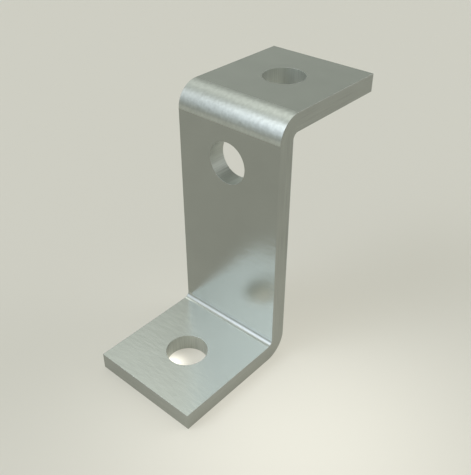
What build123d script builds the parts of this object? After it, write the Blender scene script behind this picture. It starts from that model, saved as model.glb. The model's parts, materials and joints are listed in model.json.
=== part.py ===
from build123d import *

import os

# Z-shaped bracket for strut channel, bent cold from one length of flat steel bar.
#
# Seen from its side, the bar runs along the foot, turns up through the web and
# turns away again into the arm, so the foot and the arm point opposite ways. Both
# bends have the same inside radius, and their outside follows at the thickness of
# the bar. The bar is punched three times on its centreline: once in the foot, once
# near the top of the web and once in the arm.
#
# Frame, in millimetres: the origin is the middle of the foot's bolt hole, on the
# foot's underside. +X runs across the bar, +Y from the foot towards the arm, and
# +Z up along the web.

# The flat bar that the bracket is bent from
bar_width = 40.0
bar_thickness = 6.0
inner_bend_radius = 2.0

# The step in the bar, measured on the faces that meet the channel
foot_reach = 41.0  # free end of the foot to the front of the web
arm_reach = 41.0  # back of the web to the free end of the arm
step_height = 83.0  # underside of the foot to underside of the arm

# The bolt holes, for a 12 mm bolt with room to adjust
bolt_hole_diameter = 14.0
foot_hole_from_end = 20.0
arm_hole_from_end = 20.0
web_hole_from_top = 20.0

# Heights of the bar's faces
foot_top = bar_thickness
arm_underside = step_height
arm_top = arm_underside + bar_thickness

# Places along the bracket, counted from the foot's bolt hole
foot_end = -foot_hole_from_end
web_front = foot_end + foot_reach
web_back = web_front + bar_thickness
arm_end = web_back + arm_reach

outer_bend_radius = inner_bend_radius + bar_thickness
hole_radius = bolt_hole_diameter / 2


def side_profile() -> Sketch:
    """The bracket seen from its side, with sharp free ends and both bends rounded."""
    lower_outside = (web_back, 0)
    lower_inside = (web_front, foot_top)
    upper_outside = (web_front, arm_top)
    upper_inside = (web_back, arm_underside)
    with BuildSketch(Plane.YZ) as profile:
        with BuildLine():
            Polyline(
                (foot_end, 0),
                lower_outside,
                upper_inside,
                (arm_end, arm_underside),
                (arm_end, arm_top),
                upper_outside,
                lower_inside,
                (foot_end, foot_top),
                close=True,
            )
        make_face()
        for inside, outside in ((lower_inside, lower_outside), (upper_inside, upper_outside)):
            fillet(profile.vertices().sort_by_distance(inside)[0], inner_bend_radius)
            fillet(profile.vertices().sort_by_distance(outside)[0], outer_bend_radius)
    return profile.sketch


def bolt_hole_seats() -> list[Plane]:
    """The face and middle of each bolt hole, with its normal pointing out of the bar."""
    foot_seat = Plane(origin=(0, 0, foot_top), z_dir=(0, 0, 1))
    web_seat = Plane(origin=(0, web_front, arm_top - web_hole_from_top), z_dir=(0, -1, 0))
    arm_seat = Plane(origin=(0, arm_end - arm_hole_from_end, arm_top), z_dir=(0, 0, 1))
    return [foot_seat, web_seat, arm_seat]


def z_bracket() -> Part:
    """The bent bar with its three punched holes, as one solid."""
    with BuildPart() as bracket:
        extrude(side_profile(), amount=bar_width / 2, both=True)
        with Locations(*bolt_hole_seats()):
            Hole(radius=hole_radius, depth=bar_thickness)
    return bracket.part


os.makedirs("parts", exist_ok=True)
export_step(z_bracket(), "parts/z_bracket.step")
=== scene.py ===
"""Looks of the Z-shaped channel bracket: zinc-plated flat bar, bent twice, on a pale floor.

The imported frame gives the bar's sizes and holes. The bar is rebuilt here as one closed surface with
finer bends and slightly broken edges, and it stands for the frame's own bar.
"""

import json
import logging
import math
from collections.abc import Sequence
from dataclasses import dataclass
from enum import Enum

import bpy
import numpy as np
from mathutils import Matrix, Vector


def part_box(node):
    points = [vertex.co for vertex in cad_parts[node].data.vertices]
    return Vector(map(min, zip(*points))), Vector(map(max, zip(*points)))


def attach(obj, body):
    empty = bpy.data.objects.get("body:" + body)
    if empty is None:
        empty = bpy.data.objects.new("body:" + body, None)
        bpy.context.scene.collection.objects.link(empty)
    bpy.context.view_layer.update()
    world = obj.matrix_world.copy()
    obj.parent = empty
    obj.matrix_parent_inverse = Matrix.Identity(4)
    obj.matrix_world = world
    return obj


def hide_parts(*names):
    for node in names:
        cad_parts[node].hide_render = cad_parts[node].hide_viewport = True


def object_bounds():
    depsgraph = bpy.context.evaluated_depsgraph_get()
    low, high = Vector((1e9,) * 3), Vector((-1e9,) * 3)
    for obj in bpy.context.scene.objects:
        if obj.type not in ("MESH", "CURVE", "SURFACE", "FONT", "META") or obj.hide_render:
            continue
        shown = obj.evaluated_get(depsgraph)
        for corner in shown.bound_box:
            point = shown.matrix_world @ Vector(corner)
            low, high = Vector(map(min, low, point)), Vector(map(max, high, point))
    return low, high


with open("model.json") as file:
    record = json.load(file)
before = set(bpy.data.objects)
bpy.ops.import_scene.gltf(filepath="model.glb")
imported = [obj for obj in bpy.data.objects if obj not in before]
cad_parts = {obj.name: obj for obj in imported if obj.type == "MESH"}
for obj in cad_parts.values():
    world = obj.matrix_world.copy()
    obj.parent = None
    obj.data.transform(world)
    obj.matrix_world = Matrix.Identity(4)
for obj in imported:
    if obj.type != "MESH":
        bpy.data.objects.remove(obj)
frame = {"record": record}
cad_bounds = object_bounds()

MM = 0.001
QUARTER_TURN = math.pi / 2
# The mesh attribute that holds a point's place on the unrolled bar.
UNROLLED = "unrolled"
# Points of the mesh that round to the same multiples of this become one.
MERGE_GRAIN = 0.001 * MM
# The middle of a noise texture's field, which runs from 0 to 1.
NOISE_MIDDLE = 0.5


class Skin(Enum):
    """The two broad faces of the bar, with the depth share at which each lies."""

    FRONT = 0.0
    BACK = 1.0


class Work(Enum):
    """What was done to the metal at a point, or the light or shade painted on it there, by the
    mesh attribute that says how far.
    """

    STRETCHED = "stretched"
    # Inside of a bend: a little rougher, and darkened with painted shade where its highlight peaks.
    SQUEEZED = "squeezed"
    # Painted light: a paler stripe beside the web on a bend's outside, standing in for a reflection,
    # and paler rims round the painted shade on its inside.
    PRESSED = "pressed"
    PUNCHED = "punched"
    CUT = "cut"


class Shader:
    """Builds one material's or world's nodes."""

    def __init__(self, tree: bpy.types.NodeTree) -> None:
        """Empties the tree.

        Args:
            tree: The node tree of a material or world.
        """
        self.tree = tree
        tree.nodes.clear()

    def node(
        self, kind: str, settings: dict[str, object] | None = None, **sockets: object
    ) -> bpy.types.Node:
        """Adds a node, with its settings first and then its sockets.

        Args:
            kind: The node's type, such as ShaderNodeTexNoise.
            settings: The node's own properties, such as a Math node's operation.
            sockets: A value or a link for each socket, by name with _ for a space, or by place as
                s0, s1.

        Returns:
            The new node.
        """
        made = self.tree.nodes.new(kind)
        for name, value in (settings or {}).items():
            setattr(made, name, value)
        for name, value in sockets.items():
            numbered = name[0] == "s" and name[1:].isdigit()
            socket = made.inputs[int(name[1:]) if numbered else name.replace("_", " ")]
            source = value.output if isinstance(value, (Value, Tint)) else value
            if isinstance(source, bpy.types.NodeSocket):
                self.tree.links.new(source, socket)
            else:
                socket.default_value = source
        return made

    def value(self, node: bpy.types.Node, output: int | str = 0) -> "Value":
        """Wraps a node's number for use in expressions."""
        return Value(self, node.outputs[output])

    def tint(self, node: bpy.types.Node, output: int | str = 0) -> "Tint":
        """Wraps a node's colour or vector for use in expressions."""
        return Tint(self, node.outputs[output])

    def colour(self, levels: tuple[float, float, float]) -> "Tint":
        """Gives one colour for use in expressions."""
        red, green, blue = levels
        return self.tint(self.node("ShaderNodeCombineXYZ", s0=red, s1=green, s2=blue))


class Value:
    """A number that varies over a surface, so that a Python expression adds its Math nodes."""

    def __init__(self, shader: Shader, output: bpy.types.NodeSocket) -> None:
        """Keeps the socket and the shader that it belongs to."""
        self.shader = shader
        self.output = output

    def _math(self, operation: str, *values: object) -> "Value":
        """Adds a Math node.

        Args:
            operation: The node's operation.
            values: Its inputs, in order.

        Returns:
            The node's result.
        """
        inputs = {f"s{place}": value for place, value in enumerate(values)}
        made = self.shader.node("ShaderNodeMath", {"operation": operation}, **inputs)
        return self.shader.value(made)

    def __add__(self, other: object) -> "Value":
        """Adds."""
        return self._math("ADD", self, other)

    __radd__ = __add__

    def __sub__(self, other: object) -> "Value":
        """Takes other away."""
        return self._math("SUBTRACT", self, other)

    def __rsub__(self, other: object) -> "Value":
        """Takes this away from other."""
        return self._math("SUBTRACT", other, self)

    def __mul__(self, other: object) -> "Value":
        """Multiplies."""
        return self._math("MULTIPLY", self, other)

    __rmul__ = __mul__

    def exp(self) -> "Value":
        """Raises e to the number."""
        return self._math("EXPONENT", self)


class Tint:
    """A colour or vector that varies over a surface, whose expressions add Vector Math nodes."""

    def __init__(self, shader: Shader, output: bpy.types.NodeSocket) -> None:
        """Keeps the socket and the shader that it belongs to."""
        self.shader = shader
        self.output = output

    def _vector_math(self, operation: str, **sockets: object) -> bpy.types.Node:
        """Adds a Vector Math node.

        Args:
            operation: The node's operation.
            sockets: Its inputs after the first, which is this colour or vector.

        Returns:
            The new node.
        """
        settings = {"operation": operation}
        return self.shader.node("ShaderNodeVectorMath", settings, s0=self, **sockets)

    def __add__(self, other: object) -> "Tint":
        """Adds, channel by channel."""
        return self.shader.tint(self._vector_math("ADD", s1=other))

    __radd__ = __add__

    def __mul__(self, other: object) -> "Tint":
        """Multiplies, channel by channel."""
        return self.shader.tint(self._vector_math("MULTIPLY", s1=other))

    __rmul__ = __mul__

    def scaled(self, amount: object) -> "Tint":
        """Multiplies every channel by the same amount."""
        return self.shader.tint(self._vector_math("SCALE", Scale=amount))

    def along(self, direction: object) -> Value:
        """How far the vector reaches along a direction, as their dot product."""
        return self.shader.value(self._vector_math("DOT_PRODUCT", s1=direction), "Value")


@dataclass(frozen=True)
class ZincPlate:
    """Zinc plating on rolled steel bar: a soft grey sheen with a fine ripple and faint clouds.

    The shop's work marked the metal. The stretched outside of a bend is rougher and mottled, and its
    squeezed inside is a little rougher. Painted shade darkens the middle of each bend's inside, where
    its highlight peaks. Painted light makes a paler stripe beside the web on each bend's outside,
    standing in for a reflection, and paler rims round the painted shade. The bar's cut edges are
    streaked along their length. The walls of the punched holes are rougher and streaked through the
    bar, and painted light makes them paler, lifting the shade inside the holes.

    Sizes and heights are in metres. A shade is a factor on the plating's colour. A length says how
    many times longer than wide a mark is drawn out. A detail is a number of finer noise layers.
    """

    slot: str = "zinc_plated_steel"
    pale: tuple[float, float, float] = (0.388, 0.408, 0.381)
    dull: tuple[float, float, float] = (0.344, 0.362, 0.339)
    cloud_size: float = 0.009
    cloud_detail: float = 3.0
    roughness: float = 0.24
    roughness_spread: float = 0.05
    stretched_roughness: float = 0.10
    stretched_mottle: float = 0.40
    squeezed_roughness: float = 0.05
    # Painted shade on the inside of each bend, darkest where its highlight peaks.
    squeezed_shade: float = 0.70
    # Painted light: the stripe beside the web, standing in for a reflection, and the rims round the
    # painted shade, standing in for light bounced into the bend.
    pressed_shade: float = 1.33
    punched_roughness: float = 0.30
    # Painted light on the walls of the punched holes, lifting the shade inside them.
    punched_shade: float = 1.40
    punched_streaks: float = 0.70
    cut_streaks: float = 0.38
    streak_size: float = 0.0003
    streak_length: float = 60.0
    mottle_size: float = 0.0009
    mottle_length: float = 5.0 / 3.0
    ripple_size: float = 0.0016
    ripple_length: float = 3.0
    ripple_height: float = 0.00004
    peel_size: float = 0.0011
    peel_height: float = 0.000036
    mark_detail: float = 2.0

    @staticmethod
    def _noise(shader: Shader, at: Tint, size: float, detail: float) -> Value:
        """Soft random field from 0 to 1 over the bar.

        Args:
            shader: The material's shader.
            at: Where on the bar to look it up.
            size: How far apart its blobs are, in metres.
            detail: How many finer layers it has.

        Returns:
            The field.
        """
        texture = shader.node("ShaderNodeTexNoise", Vector=at, Scale=1.0 / size, Detail=detail)
        return shader.value(texture, "Fac")

    def _mark(self, shader: Shader, at: Tint, size: float) -> Value:
        """The random field of a mark: noise less its middle, so that it goes both ways from 0."""
        return self._noise(shader, at, size, self.mark_detail) - NOISE_MIDDLE

    @staticmethod
    def _worked(shader: Shader) -> dict[Work, Value]:
        """Reads from the mesh how far each kind of work reached.

        Args:
            shader: The material's shader.

        Returns:
            One field from 0 to 1 for each kind of work.
        """
        worked = {}
        for work in Work:
            attribute = shader.node("ShaderNodeAttribute", {"attribute_name": work.value})
            worked[work] = shader.value(attribute, "Fac")
        return worked

    def _shade(self, shader: Shader, unrolled: Tint, worked: dict[Work, Value]) -> Value:
        """Works out how much paler or darker than the plain plating the metal is, painted light and
        shade included.

        It is 1 plus, for each kind of work, how far that reached times its shade less 1, or times
        its random field and that field's strength. Where a field is drawn out, it is looked up as
        if the bar were shorter, by the mark's length over its width.

        Args:
            shader: The material's shader.
            unrolled: The place on the unrolled bar.
            worked: How far each kind of work reached.

        Returns:
            The factor on the plating's colour.
        """
        short = 1.0 / self.streak_length
        lengthwise = self._mark(shader, unrolled * (short, short, 1.0), self.streak_size)
        through = self._mark(shader, unrolled * (1.0, 1.0, short), self.streak_size)
        drawn_out = unrolled * (1.0, 1.0 / self.mottle_length, 1.0)
        mottle = self._mark(shader, drawn_out, self.mottle_size)
        shade = worked[Work.CUT] * lengthwise * self.cut_streaks
        shade = shade + worked[Work.PUNCHED] * through * self.punched_streaks
        shade = shade + worked[Work.STRETCHED] * mottle * self.stretched_mottle
        # Painted shade on the inside of each bend.
        shade = shade + worked[Work.SQUEEZED] * (self.squeezed_shade - 1.0)
        # Painted light beside the web and round the painted shade.
        shade = shade + worked[Work.PRESSED] * (self.pressed_shade - 1.0)
        # Painted light on the walls of the punched holes, and then the plain 1.
        return shade + worked[Work.PUNCHED] * (self.punched_shade - 1.0) + 1.0

    def _roughness(self, cloud: Value, worked: dict[Work, Value]) -> Value:
        """Works out the roughness.

        It is the plating's own, plus the clouds less their middle times the spread, plus what each
        kind of work added as far as it reached.

        Args:
            cloud: The slow clouds, from 0 to 1.
            worked: How far each kind of work reached.

        Returns:
            The roughness.
        """
        roughness = (cloud - NOISE_MIDDLE) * self.roughness_spread + self.roughness
        roughness = roughness + worked[Work.STRETCHED] * self.stretched_roughness
        roughness = roughness + worked[Work.SQUEEZED] * self.squeezed_roughness
        return roughness + worked[Work.PUNCHED] * self.punched_roughness

    def material(self) -> bpy.types.Material:
        """Makes the finish.

        The colour drifts between dull and pale with the clouds, times the shade, which holds the
        painted light and shade. The bump's height is a ripple drawn out across the bar, plus a peel
        where the metal was stretched.

        Returns:
            The material.
        """
        made = bpy.data.materials.new("zinc_plate")
        made.use_nodes = True
        shader = Shader(made.node_tree)
        place = shader.tint(shader.node("ShaderNodeTexCoord"), "Object")
        worked = self._worked(shader)

        attribute = shader.node("ShaderNodeAttribute", {"attribute_name": UNROLLED})
        unrolled = shader.tint(attribute, "Vector")
        cloud = self._noise(shader, place, self.cloud_size, self.cloud_detail)
        drawn_out = unrolled * (1.0 / self.ripple_length, 1.0, 1.0)
        ripple = self._mark(shader, drawn_out, self.ripple_size)
        peel = self._mark(shader, place, self.peel_size)
        height = ripple * self.ripple_height + worked[Work.STRETCHED] * peel * self.peel_height

        colour = shader.node("ShaderNodeMix", {"data_type": "RGBA"}, Factor=cloud)
        colour.inputs["A"].default_value = (*self.dull, 1.0)
        colour.inputs["B"].default_value = (*self.pale, 1.0)
        bump = shader.node("ShaderNodeBump", Strength=1.0, Distance=1.0, Height=height)
        surface = shader.node(
            "ShaderNodeBsdfPrincipled",
            Base_Color=shader.tint(colour, "Result").scaled(self._shade(shader, unrolled, worked)),
            Metallic=1.0,
            Roughness=self._roughness(cloud, worked),
            Normal=bump.outputs["Normal"],
        )
        shader.node("ShaderNodeOutputMaterial", Surface=surface.outputs["BSDF"])
        return made


@dataclass(frozen=True)
class Hole:
    """A punched round hole: its place along the unrolled bar and its radius, in metres."""

    along: float
    radius: float


@dataclass
class Surface:
    """A patch of the bar: a grid of places and normals, with what the finish needs to know there.

    The unrolled place is the distance across and along the bar and the depth under the front skin.
    The worked fields say from 0 to 1 how far each kind of work reached.
    """

    places: np.ndarray
    normals: np.ndarray
    unrolled: np.ndarray
    worked: dict[Work, np.ndarray]


@dataclass
class BentBar:
    """The bar of the bracket, as a line unrolled along its front skin and bent twice.

    The front skin is the top of the foot, the front of the web and the top of the arm. A point of
    the bar is given by its distance along that skin from the foot's free end, its distance across,
    and its depth under that skin. Lengths are in metres, and angles in radians.
    """

    half_width: float
    thickness: float
    foot_end: float
    web_front: float
    arm_end: float
    height: float
    web_hole_height: float
    arm_hole_along: float
    hole_radius: float
    inner_radius: float = 2.0 * MM
    edge_radius: float = 0.05 * MM
    hole_edge_radius: float = 0.05 * MM
    skin_limit: float = 0.5
    work_border: float = 0.06
    pressed_width: float = 0.24
    pressed_fade: float = 0.11
    squeeze_skew: float = 1.25
    bend_steps: int = 20
    edge_steps: int = 4
    across_steps: int = 24
    along_steps: int = 24
    ring_steps: int = 4
    ring_crowding: float = 1.5

    @classmethod
    def from_frame(cls, record: dict) -> "BentBar":
        """Reads the bar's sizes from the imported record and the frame's box.

        Args:
            record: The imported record, with its mounts.

        Returns:
            The bar.
        """
        mounts = {mount["name"]: mount for mount in record["mounts"]}
        low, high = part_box("z_bracket")
        return cls(
            half_width=(high.x - low.x) / 2,
            thickness=mounts["foot_hole"]["dims"]["length_mm"] * MM,
            foot_end=low.y,
            web_front=mounts["web_front"]["pos_m"][1],
            arm_end=high.y,
            height=high.z,
            web_hole_height=mounts["web_hole"]["pos_m"][2],
            arm_hole_along=mounts["arm_hole"]["pos_m"][1],
            hole_radius=mounts["foot_hole"]["dims"]["r_mm"] * MM,
        )

    def __post_init__(self) -> None:
        """Works out where along the front skin the bends, the web and the arm start, and its end.

        The stretches are added up in order: foot, lower bend, web, upper bend, arm. A bend is as
        long as its radius on the front skin times a quarter turn.
        """
        self.outer_radius = self.inner_radius + self.thickness
        self.arm_root = self.web_front + self.outer_radius
        lengths = (
            self.web_front - self.inner_radius - self.foot_end,
            self.inner_radius * QUARTER_TURN,
            self.height - self.thickness - self.inner_radius - self.outer_radius,
            self.outer_radius * QUARTER_TURN,
            self.arm_end - self.arm_root,
        )
        ends = np.cumsum(lengths)
        self.low_bend_start, self.web_start, self.high_bend_start, self.arm_start, self.end = ends

    def holes(self) -> tuple[Hole, Hole, Hole]:
        """Finds the holes. The foot's is over the frame's origin.

        Returns:
            The foot's, the web's and the arm's hole.
        """
        web_foot_height = self.thickness + self.inner_radius
        return (
            Hole(-self.foot_end, self.hole_radius),
            Hole(self.web_start + self.web_hole_height - web_foot_height, self.hole_radius),
            Hole(self.arm_start + self.arm_hole_along - self.arm_root, self.hole_radius),
        )

    def turns(self, along: np.ndarray) -> tuple[np.ndarray, np.ndarray]:
        """Says how far the bends have turned: the distance into the bend over its radius.

        Args:
            along: Distances along the front skin.

        Returns:
            The lower and the upper bend's angles there.
        """
        low = (along - self.low_bend_start) / self.inner_radius
        high = (along - self.high_bend_start) / self.outer_radius
        return np.clip(low, 0.0, QUARTER_TURN), np.clip(high, 0.0, QUARTER_TURN)

    def section(self, along: np.ndarray) -> tuple[np.ndarray, np.ndarray, np.ndarray]:
        """Follows the front skin round the bends.

        On a straight stretch the place is the stretch's start plus the distance along it. On a bend
        the place is the bend's centre plus its radius times the direction, which turns by the
        distance over the radius.

        Args:
            along: Distances along the front skin.

        Returns:
            The place and the tangent and the outward normal there, as (y, z) pairs.
        """
        low_turn, high_turn = self.turns(along)
        slope = low_turn - high_turn
        tangent = np.stack((np.cos(slope), np.sin(slope)), axis=-1)
        normal = np.stack((-np.sin(slope), np.cos(slope)), axis=-1)

        foot_part = np.minimum(along, self.low_bend_start)
        web_part = np.clip(along - self.web_start, 0.0, self.high_bend_start - self.web_start)
        arm_part = np.maximum(along - self.arm_start, 0.0)
        y = self.foot_end + foot_part + self.inner_radius * np.sin(low_turn)
        y = y + self.outer_radius * (1.0 - np.cos(high_turn)) + arm_part
        z = self.thickness + self.inner_radius * (1.0 - np.cos(low_turn))
        z = z + web_part + self.outer_radius * np.sin(high_turn)
        return np.stack((y, z), axis=-1), tangent, normal

    def bend_work(self, along: np.ndarray, lean: np.ndarray) -> dict[Work, np.ndarray]:
        """Says how the bending worked the skins, and where light and shade are painted on them.

        A point is on a skin where the sine of its normal's lean is under the skin limit. The upper
        bend stretches the front skin and squeezes the back, the lower bend the other way round.
        Stretching sets in over the work border, an angle from each end of the bend. A painted
        highlight makes a paler stripe there beside the web on the outside, up to the painted stripe
        width. Painted shade on the squeezed side is the square of a sine over the bend, with the turn
        from the web raised to the skew, so that it is darkest where the highlight peaks. The rest of
        the squeezed side gets painted light, standing in for light bounced into the bend.

        Args:
            along: Distances along the front skin.
            lean: Angle of the surface's normal from the front skin's normal.

        Returns:
            The stretched field, the squeezed field that carries painted shade, and the painted light
            field. The walls have none.
        """
        skin = np.where(np.abs(np.sin(lean)) < self.skin_limit, np.sign(np.cos(lean)), 0.0)
        low_turn, high_turn = self.turns(along)
        kinds = (Work.STRETCHED, Work.SQUEEZED, Work.PRESSED)
        worked = {work: np.zeros(along.shape) for work in kinds}
        for sign, from_web in ((1.0, high_turn), (-1.0, QUARTER_TURN - low_turn)):
            outside, inside = np.maximum(sign * skin, 0.0), np.maximum(-sign * skin, 0.0)
            rim = np.minimum(from_web, QUARTER_TURN - from_web) / self.work_border
            bent = np.clip(rim, 0.0, 1.0)
            # Painted highlight: a paler stripe beside the web on the outside.
            fade = (self.pressed_width - from_web) / self.pressed_fade
            stripe = np.clip(np.minimum(from_web / self.work_border, fade), 0.0, 1.0)
            # Painted shade on the inside, skewed to peak where the highlight is brightest.
            skewed = (from_web / QUARTER_TURN) ** self.squeeze_skew
            squeezed = np.sin(math.pi * skewed) ** 2
            worked[Work.STRETCHED] += outside * bent
            worked[Work.SQUEEZED] += inside * squeezed
            # Painted light on the stripe outside and round the painted shade inside.
            worked[Work.PRESSED] += outside * stripe + inside * np.maximum(bent - squeezed, 0.0)
        return worked

    def solid_point(
        self,
        along: np.ndarray,
        across: np.ndarray,
        depth: np.ndarray,
        out: tuple[np.ndarray, np.ndarray],
        lean: np.ndarray,
    ) -> Surface:
        """Places points of the bar's surface.

        The place is the front skin's place, less the depth along its normal. The surface's normal
        leans from the skin's normal towards the outward direction by the lean angle.

        Args:
            along: Distances along the front skin.
            across: Distances across the bar.
            depth: Depths under the front skin.
            out: The outward direction in the plane of the skin, as its shares along and across.
            lean: Angle of the surface's normal from the skin's normal.

        Returns:
            The patch.
        """
        fields = np.broadcast_arrays(along, across, depth, *out, lean)
        along, across, depth, out_along, out_across, lean = fields
        place, tangent, normal = self.section(along)
        y = place[..., 0] - depth * normal[..., 0]
        z = place[..., 1] - depth * normal[..., 1]
        up, side = np.cos(lean), np.sin(lean)
        normals = (
            side * out_across,
            side * out_along * tangent[..., 0] + up * normal[..., 0],
            side * out_along * tangent[..., 1] + up * normal[..., 1],
        )
        worked = {work: np.zeros(along.shape) for work in Work}
        worked.update(self.bend_work(along, lean))
        return Surface(
            places=np.stack((across, y, z), axis=-1),
            normals=np.stack(normals, axis=-1),
            unrolled=np.stack((across, along, depth), axis=-1),
            worked=worked,
        )

    def edge_profile(self, radius: float) -> tuple[np.ndarray, np.ndarray, np.ndarray]:
        """The line from the front skin over a broken edge, down the wall and round to the back.

        Each broken edge is a quarter circle: outward by radius times sine, deeper by radius times
        one less cosine.

        Args:
            radius: Radius of both edges.

        Returns:
            Outward distances from the skins' border, depths, and the normal's lean.
        """
        turn = np.linspace(0.0, QUARTER_TURN, self.edge_steps + 1)
        outward = radius * np.sin(turn)
        depth = radius * (1.0 - np.cos(turn))
        return (
            np.concatenate((outward, outward[::-1])),
            np.concatenate((depth, self.thickness - depth[::-1])),
            np.concatenate((turn, math.pi - turn[::-1])),
        )

    def skin(self, along: np.ndarray, across: np.ndarray, side: Skin) -> Surface:
        """A patch of one skin over a grid.

        The front skin has no depth and no lean. The back one is a thickness deep and leans by half
        a turn.

        Args:
            along: Distances along the front skin.
            across: Distances across the bar.
            side: The front or the back skin.

        Returns:
            The patch.
        """
        zero = np.zeros_like(along)
        depth, lean = side.value * self.thickness, side.value * math.pi
        return self.solid_point(along, across, depth, (zero, zero), lean)

    def wall(
        self, along: np.ndarray, across: np.ndarray, out: np.ndarray, radius: float, work: Work
    ) -> Surface:
        """The wall between the two skins along a border line, with both edges broken.

        The edge's profile is carried along the line: each of its points stands off the border by
        its outward distance, in the outward direction.

        Args:
            along: The border's distances along the bar, one for each point of the line.
            across: The border's distances across the bar.
            out: The unit direction out of the bar at each point, along and across.
            radius: Radius of the broken edges.
            work: What made the wall. It reaches as far as the sine of the normal's lean.

        Returns:
            The patch, one row for each point of the line.
        """
        outward, depth, lean = self.edge_profile(radius)
        out_along, out_across = out[:, :1], out[:, 1:]
        made = self.solid_point(
            along[:, None] + out_along * outward,
            across[:, None] + out_across * outward,
            depth[None, :],
            (out_along, out_across),
            lean[None, :],
        )
        made.worked[work] = np.broadcast_to(np.sin(lean), made.places.shape[:2])
        return made

    def stations(self) -> dict[str, np.ndarray]:
        """Divides the bar lengthwise into rows.

        The web's hole lies in the middle of its patch, which reaches up to the upper bend.

        Returns:
            The rows' distances along the front skin, for each hole patch, bend and plain stretch.
        """
        _, web_hole, _ = self.holes()
        patch_start = web_hole.along - (self.high_bend_start - web_hole.along)
        return {
            "foot_patch": self.even_rows(self.edge_radius, self.low_bend_start),
            "low_bend": self.bend_rows(self.low_bend_start, self.web_start),
            "web": self.even_rows(self.web_start, patch_start),
            "web_patch": self.even_rows(patch_start, self.high_bend_start),
            "high_bend": self.bend_rows(self.high_bend_start, self.arm_start),
            "arm_patch": self.even_rows(self.arm_start, self.end - self.edge_radius),
        }

    def even_rows(self, start: float, end: float) -> np.ndarray:
        """Rows over a straight stretch, at even steps from its start to its end."""
        return np.linspace(start, end, self.along_steps + 1)

    def bend_rows(self, start: float, end: float) -> np.ndarray:
        """Rows over a bend: even steps, and one more at each end where its marks set in.

        Args:
            start: Distance along the front skin at which the bend starts.
            end: Distance at which it ends.

        Returns:
            The rows' distances along the front skin.
        """
        turns = np.linspace(0.0, QUARTER_TURN, self.bend_steps + 1)
        borders = (self.work_border, QUARTER_TURN - self.work_border)
        turns = np.sort(np.concatenate((turns, borders)))
        return start + turns * (end - start) / QUARTER_TURN

    def columns(self) -> np.ndarray:
        """Distances across the bar of the skins' columns, inside the broken edges."""
        border = self.half_width - self.edge_radius
        return np.linspace(-border, border, self.across_steps + 1)

    def hole_patch(self, rows: np.ndarray, hole: Hole, side: Skin) -> Surface:
        """A rectangle of skin with a round hole, as rings from the rim out to the rectangle.

        A point of a ring is the rim point times one less the share, plus the border point times the
        share. The shares are even steps raised to the crowding, so the rings crowd at the rim.

        Args:
            rows: Distances along the bar of the rectangle's rows.
            hole: The hole in it.
            side: The front or the back skin.

        Returns:
            The patch, one grid row for each ring, closed on itself.
        """
        border_along, border_across = self._rectangle(rows)
        rim_along, rim_across = self._rim(rows, hole)
        share = (np.linspace(0.0, 1.0, self.ring_steps + 1) ** self.ring_crowding)[:, None]
        along = rim_along * (1.0 - share) + border_along * share
        across = rim_across * (1.0 - share) + border_across * share
        return self.skin(along, across, side)

    def _rectangle(self, rows: np.ndarray) -> tuple[np.ndarray, np.ndarray]:
        """Walks once round a rectangle of skin, through its rows and columns.

        Args:
            rows: Distances along the bar of the rectangle's rows.

        Returns:
            Distances along and across of each point, the last the same as the first.
        """
        columns = self.columns()
        wide, long = len(columns) - 1, len(rows) - 1
        far, near = np.full(wide, rows[-1]), np.full(wide + 1, rows[0])
        left, right = np.full(long, columns[0]), np.full(long, columns[-1])
        along = np.concatenate((rows[:-1], far, rows[:0:-1], near))
        across = np.concatenate((left, columns[:-1], right, columns[::-1]))
        return along, across

    def _rim(self, rows: np.ndarray, hole: Hole) -> tuple[np.ndarray, np.ndarray]:
        """The border of a hole's broken edge, one point for each point of the rectangle round it.

        A rim point is the hole's middle plus the rim's radius towards the rectangle's point.

        Args:
            rows: Distances along the bar of the rectangle's rows.
            hole: The hole.

        Returns:
            Distances along and across of each rim point.
        """
        along, across = self._rectangle(rows)
        direction = np.stack((along - hole.along, across), axis=-1)
        direction /= np.linalg.norm(direction, axis=-1, keepdims=True)
        rim = hole.radius + self.hole_edge_radius
        return hole.along + rim * direction[:, 0], rim * direction[:, 1]

    def hole_wall(self, rows: np.ndarray, hole: Hole) -> Surface:
        """The punched wall of a hole with both rims broken, matched to the rings of its patch.

        Args:
            rows: Distances along the bar of the patch's rows.
            hole: The hole.

        Returns:
            The wall. Its outward direction points at the hole's middle.
        """
        along, across = self._rim(rows, hole)
        inward = np.stack((hole.along - along, -across), axis=-1)
        inward /= np.linalg.norm(inward, axis=-1, keepdims=True)
        return self.wall(along, across, inward, self.hole_edge_radius, Work.PUNCHED)

    def outline(self) -> tuple[np.ndarray, np.ndarray, np.ndarray]:
        """Walks once round the whole unrolled bar, turning the outward direction at each corner.

        Returns:
            Distances along and across of the skins' border, and the outward direction there.
        """
        rows = np.unique(np.concatenate(list(self.stations().values())))
        columns = self.columns()
        corner = np.linspace(0.0, QUARTER_TURN, self.edge_steps + 1)
        sides = (
            (rows, np.full(len(rows), columns[0]), -QUARTER_TURN),
            (np.full(len(columns), rows[-1]), columns, 0.0),
            (rows[::-1], np.full(len(rows), columns[-1]), QUARTER_TURN),
            (np.full(len(columns), rows[0]), columns[::-1], math.pi),
        )
        along, across, angles = [], [], []
        for side_along, side_across, angle in sides:
            along += [side_along, np.full(len(corner), side_along[-1])]
            across += [side_across, np.full(len(corner), side_across[-1])]
            angles += [np.full(len(side_along), angle), angle + corner]
        angle = np.concatenate(angles)
        out = np.stack((np.cos(angle), np.sin(angle)), axis=-1)
        return np.concatenate(along), np.concatenate(across), out

    def surfaces(self) -> list[Surface]:
        """Covers the bar: the cut wall all round, the holes' walls, and both skins.

        Returns:
            The patches of the closed surface.
        """
        columns = self.columns()
        holes = dict(zip(("foot_patch", "web_patch", "arm_patch"), self.holes()))
        made = [self.wall(*self.outline(), self.edge_radius, Work.CUT)]
        for name, rows in self.stations().items():
            if name in holes:
                made.append(self.hole_wall(rows, holes[name]))
                made += [self.hole_patch(rows, holes[name], side) for side in Skin]
            else:
                along, across = np.meshgrid(rows, columns, indexing="ij")
                made += [self.skin(along, across, side) for side in Skin]
        return made


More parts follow.
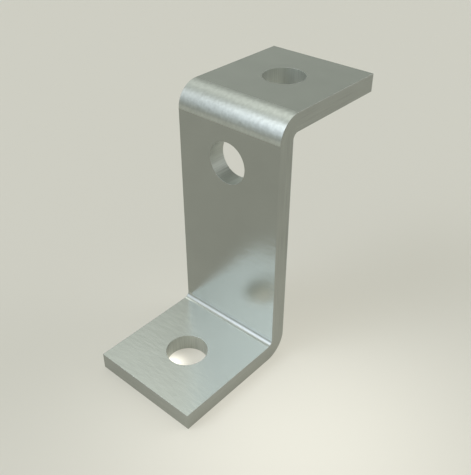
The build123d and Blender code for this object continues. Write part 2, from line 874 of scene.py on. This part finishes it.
class MeshMaker:
    """Joins grids of points into one closed Blender mesh."""

    def __init__(self, name: str) -> None:
        """Names the piece to be made."""
        self.name = name

    @staticmethod
    def _quads(rows: int, columns: int, first: int) -> np.ndarray:
        """Numbers the corners of a grid's quads, each from a point and its next row and column.

        Args:
            rows: How many rows of points the grid has.
            columns: How many columns.
            first: The number of its first point.

        Returns:
            Four corner numbers for each quad.
        """
        numbers = first + np.arange(rows * columns).reshape(rows, columns)
        corners = (numbers[:-1, :-1], numbers[1:, :-1], numbers[1:, 1:], numbers[:-1, 1:])
        return np.stack(corners, axis=-1).reshape(-1, 4)

    @staticmethod
    def _listed(grids: Sequence[np.ndarray]) -> np.ndarray:
        """Puts the vectors of all the grids into one list."""
        return np.concatenate([grid.reshape(-1, 3) for grid in grids])

    def build(self, surfaces: Sequence[Surface]) -> bpy.types.Object:
        """Makes the piece: shared border points become one, and every face points outwards.

        Args:
            surfaces: The grids.

        Returns:
            The piece's object, with its normals, its unrolled places and how far each kind of work
            reached.
        """
        places = self._listed([surface.places for surface in surfaces])
        grain = np.round(places / MERGE_GRAIN).astype(np.int64)
        _, kept, merged = np.unique(grain, axis=0, return_index=True, return_inverse=True)
        places = places[kept]
        normals = self._listed([surface.normals for surface in surfaces])[kept]
        unrolled = self._listed([surface.unrolled for surface in surfaces])[kept]

        shapes = [surface.places.shape[:2] for surface in surfaces]
        firsts = np.cumsum([0] + [rows * columns for rows, columns in shapes])
        quads = [self._quads(*shape, first) for shape, first in zip(shapes, firsts)]
        quads = merged.reshape(-1)[np.concatenate(quads)]
        faces = [self._tidy(quad) for quad in self._outward(quads, places, normals).tolist()]
        faces = [face for face in faces if len(face) > 2]

        mesh = bpy.data.meshes.new(self.name)
        mesh.from_pydata(places.tolist(), [], faces)
        mesh.polygons.foreach_set("use_smooth", np.ones(len(faces), dtype=bool))
        for work in Work:
            reach = np.concatenate([surface.worked[work].reshape(-1) for surface in surfaces])
            attribute = mesh.attributes.new(work.value, "FLOAT", "POINT")
            attribute.data.foreach_set("value", reach[kept].astype(np.float32))
        attribute = mesh.attributes.new(UNROLLED, "FLOAT_VECTOR", "POINT")
        attribute.data.foreach_set("vector", unrolled.astype(np.float32).reshape(-1))
        mesh.normals_split_custom_set_from_vertices(normals.tolist())
        mesh.validate()
        piece = bpy.data.objects.new(self.name, mesh)
        bpy.context.scene.collection.objects.link(piece)
        return piece

    @staticmethod
    def _outward(quads: np.ndarray, places: np.ndarray, normals: np.ndarray) -> np.ndarray:
        """Turns round each quad whose corners run against the surface's normal.

        A quad faces along the cross product of its diagonals. It runs against the surface where
        that points away from the sum of the normals at its corners.

        Args:
            quads: Four corner numbers for each quad.
            places: The points.
            normals: The surface's normal at each point.

        Returns:
            The quads, all facing outwards.
        """
        corners = places[quads]
        facing = np.cross(corners[:, 2] - corners[:, 0], corners[:, 3] - corners[:, 1])
        against = np.einsum("ij,ij->i", facing, normals[quads].sum(axis=1)) < 0.0
        return np.where(against[:, None], quads[:, ::-1], quads)

    @staticmethod
    def _tidy(quad: list[int]) -> list[int]:
        """Leaves out a corner that fell together with the one before it."""
        return [corner for place, corner in enumerate(quad) if corner != quad[place - 1]]


@dataclass
class Bracket:
    """The bracket: one bent and punched bar in zinc plate."""

    bar: BentBar
    finish: ZincPlate

    def build(self) -> bpy.types.Object:
        """Makes the bar's piece, dresses it, and lets it stand for the frame's bar.

        Returns:
            The piece.
        """
        piece = MeshMaker("z_bracket_bar").build(self.bar.surfaces())
        piece.data.materials.append(self.finish.material())
        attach(piece, "root")
        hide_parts("z_bracket")
        return piece


def heading(compass: float, elevation: float) -> Vector:
    """Gives a direction as a unit vector.

    Level with the floor it reaches the cosine of the elevation, which the compass angle's sine and
    cosine split between X and Y. Upwards it reaches the elevation's sine.

    Args:
        compass: Its angle in degrees from +Y towards +X.
        elevation: Its angle in degrees above the floor.

    Returns:
        The direction.
    """
    bearing, rise = math.radians(compass), math.radians(elevation)
    level = math.cos(rise)
    return Vector((math.sin(bearing) * level, math.cos(bearing) * level, math.sin(rise)))


@dataclass(frozen=True)
class Softbox:
    """A rectangular soft lamp, hung in a direction from its target and at a distance.

    Angles are in degrees and lengths in metres. A glow of 1 is as bright as a white surface in full
    light.
    """

    name: str
    compass: float
    elevation: float
    distance: float
    width: float
    height: float
    glow: float
    colour: tuple[float, float, float]

    def build(self, target: Vector) -> bpy.types.Object:
        """Hangs the lamp and turns it to its target. Its power is glow times pi times its area.

        Args:
            target: What it points at.

        Returns:
            The lamp.
        """
        away = heading(self.compass, self.elevation)
        lamp = bpy.data.lights.new(self.name, "AREA")
        lamp.shape = "RECTANGLE"
        lamp.size, lamp.size_y = self.width, self.height
        lamp.energy = self.glow * math.pi * self.width * self.height
        lamp.color = self.colour
        made = bpy.data.objects.new(self.name, lamp)
        made.location = target + away * self.distance
        made.rotation_euler = away.to_track_quat("Z", "Y").to_euler()
        made.visible_camera = False
        bpy.context.scene.collection.objects.link(made)
        return made


@dataclass(frozen=True)
class SkyGlow:
    """A soft patch of brighter sky, such as a window, with its middle and spread in degrees."""

    compass: float
    elevation: float
    spread: float
    colour: tuple[float, float, float]

    def light(self, shader: Shader, direction: Tint) -> Tint:
        """Fades the patch's colour by e to the power of (cosine - 1) / spread squared.

        The cosine is that of the angle from the patch's middle, and the spread is in radians here.

        Args:
            shader: The world's shader.
            direction: Where the sky is looked up.

        Returns:
            The patch's light in that direction.
        """
        cosine = direction.along(tuple(heading(self.compass, self.elevation)))
        fade = ((cosine - 1.0) * (1.0 / math.radians(self.spread) ** 2)).exp()
        return shader.colour(self.colour).scaled(fade)


@dataclass(frozen=True)
class PaintedFloorLight:
    """A painted pool of light on the floor: its middle, its reach and how much it adds to the floor's
    own.
    """

    x: float
    y: float
    reach: float
    gain: float

    def light(self, place: Tint) -> Value:
        """Fades the gain by e to the power of minus the squared distance over the squared reach.

        Args:
            place: The place on the floor.

        Returns:
            The gain there.
        """
        away = place + (-self.x, -self.y, 0.0)
        return (away.along(away) * (-1.0 / self.reach**2)).exp() * self.gain


@dataclass
class Studio:
    """The pale floor with two painted pools of light, the soft light and the camera.

    The softbox hangs behind the bracket, on the side away from the camera.
    """

    centre: Vector
    floor_size: float = 6.0
    floor_colour: tuple[float, float, float] = (0.339, 0.335, 0.306)
    floor_glow: tuple[float, float, float] = (0.262, 0.251, 0.219)
    # Painted pool of light at the right, lifting the floor's shade beside the foot.
    right_glow: PaintedFloorLight = PaintedFloorLight(x=0.048, y=0.000, reach=0.056, gain=0.97)
    # Painted pool of light in the foot's hole, where the floor lies in shadow.
    hole_glow: PaintedFloorLight = PaintedFloorLight(x=-0.0036, y=-0.0046, reach=0.0042, gain=4.8)
    sky_colour: tuple[float, float, float] = (0.558, 0.585, 0.527)
    window: SkyGlow = SkyGlow(
        compass=-144.9, elevation=46.3, spread=8.8, colour=(4.55, 4.77, 5.25)
    )
    window_sill: SkyGlow = SkyGlow(
        compass=-158.6, elevation=27.0, spread=10.2, colour=(2.47, 2.71, 3.25)
    )
    top_panel: SkyGlow = SkyGlow(
        compass=-65.8, elevation=61.0, spread=14.5, colour=(1.53, 1.56, 1.52)
    )
    rear_panel: SkyGlow = SkyGlow(
        compass=35.2, elevation=28.0, spread=11.0, colour=(3.27, 3.13, 3.30)
    )
    softbox: Softbox = Softbox(
        name="back_box",
        compass=41.0,
        elevation=42.0,
        distance=0.9,
        width=0.40,
        height=0.40,
        glow=0.15,
        colour=(1.0, 1.0, 1.0),
    )
    camera_place: tuple[float, float, float] = (0.11777, -0.10925, 0.16387)
    looking_compass: float = -41.268
    looking_elevation: float = -34.862
    lens: float = 49.43
    nearest_seen: float = 0.005

    def floor(self) -> bpy.types.Object:
        """Lays the floor under the bracket.

        Its own glow shows to camera, glossy and transmission rays only, and half fills the shadows
        that they see. It is multiplied by one plus the gains of two painted pools of light: one at
        the right, which lifts the floor's shade beside the foot, and one in the foot's hole, where
        the floor lies in shadow.

        Returns:
            The floor.
        """
        half = self.floor_size / 2
        mesh = bpy.data.meshes.new("floor")
        corners = [(-half, -half, 0.0), (half, -half, 0.0), (half, half, 0.0), (-half, half, 0.0)]
        mesh.from_pydata(corners, [], [(0, 1, 2, 3)])
        material = bpy.data.materials.new("floor")
        material.use_nodes = True
        shader = Shader(material.node_tree)
        path = shader.node("ShaderNodeLightPath")
        seen = shader.value(path, "Is Camera Ray") + shader.value(path, "Is Glossy Ray")
        seen = seen + shader.value(path, "Is Transmission Ray")
        place = shader.tint(shader.node("ShaderNodeTexCoord"), "Object")
        # One plus the painted pools of light at the right and in the foot's hole.
        gain = self.right_glow.light(place) + self.hole_glow.light(place) + 1.0
        light = shader.colour(self.floor_glow).scaled(seen * gain)
        matt = shader.node("ShaderNodeBsdfDiffuse", Color=(*self.floor_colour, 1.0))
        glow = shader.node("ShaderNodeEmission", Color=light)
        both = shader.node(
            "ShaderNodeAddShader", s0=matt.outputs["BSDF"], s1=glow.outputs["Emission"]
        )
        shader.node("ShaderNodeOutputMaterial", Surface=both.outputs["Shader"])
        mesh.materials.append(material)
        piece = bpy.data.objects.new("floor", mesh)
        bpy.context.scene.collection.objects.link(piece)
        return piece

    def sky(self) -> None:
        """Surrounds the scene with pale light, a soft window over its sill and two soft panels."""
        world = bpy.data.worlds.new("soft_sky")
        world.use_nodes = True
        bpy.context.scene.world = world
        shader = Shader(world.node_tree)
        direction = shader.tint(shader.node("ShaderNodeTexCoord"), "Generated")
        light = shader.colour(self.sky_colour)
        for glow in (self.window, self.window_sill, self.top_panel, self.rear_panel):
            light = light + glow.light(shader, direction)
        sky = shader.node("ShaderNodeBackground", Color=light, Strength=1.0)
        shader.node("ShaderNodeOutputWorld", Surface=sky.outputs["Background"])

    def camera(self) -> bpy.types.Object:
        """Sets the camera at the photograph's viewing angle.

        Returns:
            The camera.
        """
        looking = heading(self.looking_compass, self.looking_elevation)
        data = bpy.data.cameras.new("camera")
        data.lens = self.lens
        data.clip_start = self.nearest_seen
        made = bpy.data.objects.new("camera", data)
        made.location = self.camera_place
        made.rotation_euler = looking.to_track_quat("-Z", "Y").to_euler()
        bpy.context.scene.collection.objects.link(made)
        bpy.context.scene.camera = made
        return made

    def build(self) -> list[bpy.types.Object]:
        """Sets up floor, sky, lamp and camera.

        Returns:
            The floor, the lamp and the camera.
        """
        floor = self.floor()
        self.sky()
        bpy.context.scene.view_settings.view_transform = "Standard"
        return [floor, self.softbox.build(self.centre), self.camera()]


def main() -> None:
    """Builds the bracket and then its studio, and reports each piece."""
    logging.basicConfig(level=logging.INFO, format="%(message)s")
    bracket = Bracket(BentBar.from_frame(frame["record"]), ZincPlate())
    piece = bracket.build()
    logging.info("%s: %d faces", piece.name, len(piece.data.polygons))
    low, high = cad_bounds
    for made in Studio(centre=(low + high) / 2).build():
        logging.info("%s: %s", made.name, made.type.lower())


if __name__ == "__main__":
    main()
